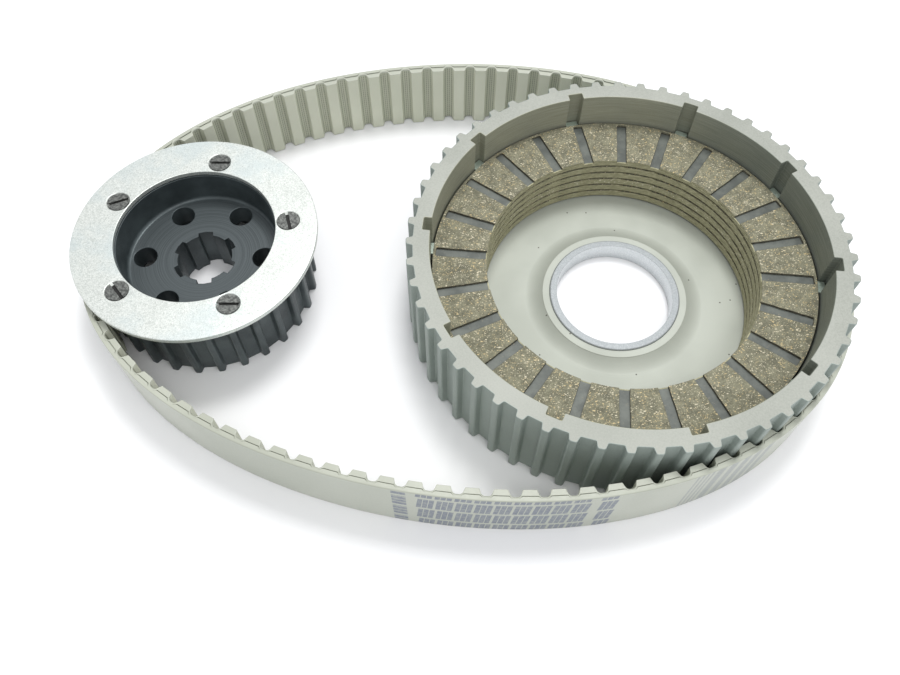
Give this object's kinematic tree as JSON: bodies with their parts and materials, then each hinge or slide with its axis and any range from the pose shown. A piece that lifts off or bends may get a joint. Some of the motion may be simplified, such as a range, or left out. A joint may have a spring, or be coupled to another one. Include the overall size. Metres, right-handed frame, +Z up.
{
  "type": "toothed belt clutch drive",
  "caption": "Toothed-belt primary drive: clutch basket pulley with a stack of friction plates, small flanged drive pulley and the slack belt round both.",
  "frame": {"origin": "middle of the assembly's footprint on the bench, with the rear faces of the belt and both pulleys on Z = 0", "axes": "+X from the drive pulley towards the clutch basket, +Z up along both shafts, away from the engine"},
  "size_m": [0.3088, 0.2096, 0.0438],
  "materials": {
    "belt_polyurethane": "satin moulded polyurethane",
    "basket_hard_anodised": "matte hard anodised",
    "bearing_steel": "ground",
    "pulley_black_anodised": "satin black anodised",
    "flange_zinc": "bright zinc plated",
    "screw_steel": "dark oiled steel",
    "plate_core": "satin",
    "plate_lining": "rough pressed friction fibre"
  },
  "bodies": {
    "belt": {"timing_belt": "belt_polyurethane"},
    "basket": {"clutch_basket": "basket_hard_anodised", "bearing_sleeve": "bearing_steel"},
    "drive": {"drive_pulley": "pulley_black_anodised", "pulley_flange": "flange_zinc", "flange_screw_1": "screw_steel", "flange_screw_2": "screw_steel", "flange_screw_3": "screw_steel", "flange_screw_4": "screw_steel", "flange_screw_5": "screw_steel"},
    "plate_1": {"friction_plate_1_core": "plate_core", "friction_plate_1_lining_lower": "plate_lining", "friction_plate_1_lining_upper": "plate_lining"},
    "plate_2": {"friction_plate_2_core": "plate_core", "friction_plate_2_lining_lower": "plate_lining", "friction_plate_2_lining_upper": "plate_lining"},
    "plate_3": {"friction_plate_3_core": "plate_core", "friction_plate_3_lining_lower": "plate_lining", "friction_plate_3_lining_upper": "plate_lining"},
    "plate_4": {"friction_plate_4_core": "plate_core", "friction_plate_4_lining_lower": "plate_lining", "friction_plate_4_lining_upper": "plate_lining"},
    "plate_5": {"friction_plate_5_core": "plate_core", "friction_plate_5_lining_lower": "plate_lining", "friction_plate_5_lining_upper": "plate_lining"},
    "plate_6": {"friction_plate_6_core": "plate_core", "friction_plate_6_lining_lower": "plate_lining", "friction_plate_6_lining_upper": "plate_lining"}
  },
  "joints": [
    {"name": "basket_spin", "type": "hinge", "parent": "belt", "child": "basket", "pos_m": [0.06555, -0.00563, 0], "axis": [0, 0, 1], "continuous": true, "deforming": ["timing_belt"]},
    {"name": "drive_spin", "type": "hinge", "parent": "belt", "child": "drive", "pos_m": [-0.10565, 0.00377, 0], "axis": [0, 0, 1], "continuous": true, "deforming": ["timing_belt"]},
    {"name": "plate_1_slide", "type": "slide", "parent": "basket", "child": "plate_1", "axis": [0, 0, 1], "range_m": [0, 0.002]},
    {"name": "plate_2_slide", "type": "slide", "parent": "plate_1", "child": "plate_2", "axis": [0, 0, 1], "range_m": [0, 0.002]},
    {"name": "plate_3_slide", "type": "slide", "parent": "plate_2", "child": "plate_3", "axis": [0, 0, 1], "range_m": [0, 0.002]},
    {"name": "plate_4_slide", "type": "slide", "parent": "plate_3", "child": "plate_4", "axis": [0, 0, 1], "range_m": [0, 0.002]},
    {"name": "plate_5_slide", "type": "slide", "parent": "plate_4", "child": "plate_5", "axis": [0, 0, 1], "range_m": [0, 0.002]},
    {"name": "plate_6_slide", "type": "slide", "parent": "plate_5", "child": "plate_6", "axis": [0, 0, 1], "range_m": [0, 0.002]}
  ],
  "couplings": [
    {"joint": "drive_spin", "follows": "basket_spin", "ratio": 1.9643}
  ]
}
